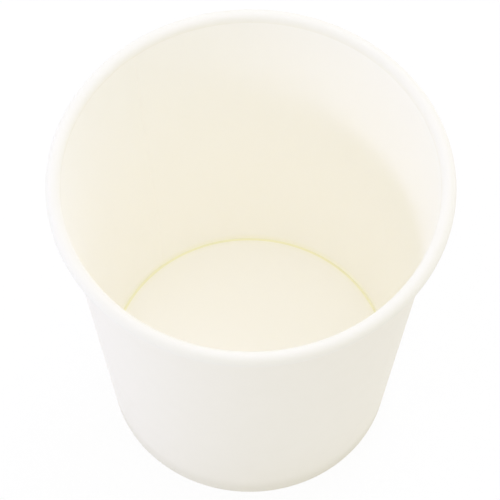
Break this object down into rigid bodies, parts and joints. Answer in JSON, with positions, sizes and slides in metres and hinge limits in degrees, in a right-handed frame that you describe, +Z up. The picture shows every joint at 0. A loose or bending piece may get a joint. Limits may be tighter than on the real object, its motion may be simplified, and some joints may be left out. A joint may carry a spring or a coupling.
{
  "type": "paper coffee cup",
  "caption": "Plain white single-wall paper cup with a rolled rim, a lapped side seam and a recessed floor held in a folded hem, for hot drinks.",
  "frame": {"origin": "centre of the foot ring, on the table that the cup stands on", "axes": "+Z up along the cup's axis; -Y towards the viewer of the picture; the side seam lies behind and to the left, at 129 degrees from +X"},
  "size_m": [0.09, 0.09, 0.087],
  "materials": {
    "wall_board": "white cup board, matt outside, coated satin inside",
    "floor_board": "white cup board, coated satin"
  },
  "bodies": {
    "root": {"side_wall": "wall_board", "bottom_disc": "floor_board"}
  },
  "joints": []
}
